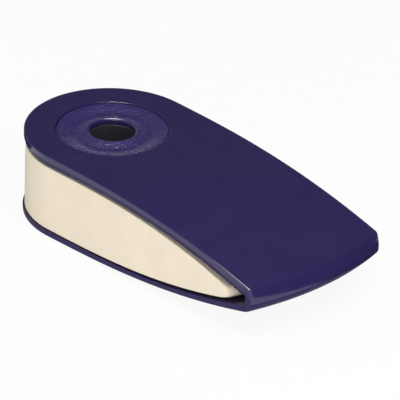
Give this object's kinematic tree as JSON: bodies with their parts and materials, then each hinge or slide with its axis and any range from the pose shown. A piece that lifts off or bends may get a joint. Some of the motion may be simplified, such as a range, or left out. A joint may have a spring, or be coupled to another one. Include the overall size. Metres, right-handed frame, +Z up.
{
  "type": "swivel eraser with sleeve",
  "caption": "Wedge-shaped eraser that swivels on a hollow hub out of a glossy split plastic sleeve with grained, dished finger rests.",
  "frame": {"origin": "middle of the length and width, on the surface that the part lies on", "axes": "+X from the hub to the nose, +Z up through the upper shell along the pivot, +Y across the width"},
  "size_m": [0.0662, 0.03, 0.0153],
  "materials": {
    "shell_plastic": "polished moulded plastic, dark violet blue",
    "hub_plastic": "fine spark-eroded grain, dark violet blue",
    "eraser_rubber": "matt cream eraser"
  },
  "bodies": {
    "sleeve": {"upper_shell": "shell_plastic", "lower_shell": "shell_plastic", "upper_hub": "hub_plastic", "lower_hub": "hub_plastic"},
    "eraser": {"eraser": "eraser_rubber"}
  },
  "joints": [
    {"name": "eraser_swivel", "type": "hinge", "parent": "sleeve", "child": "eraser", "pos_m": [-0.01815, 0, 0.00765], "axis": [0, 0, 1], "continuous": true}
  ]
}
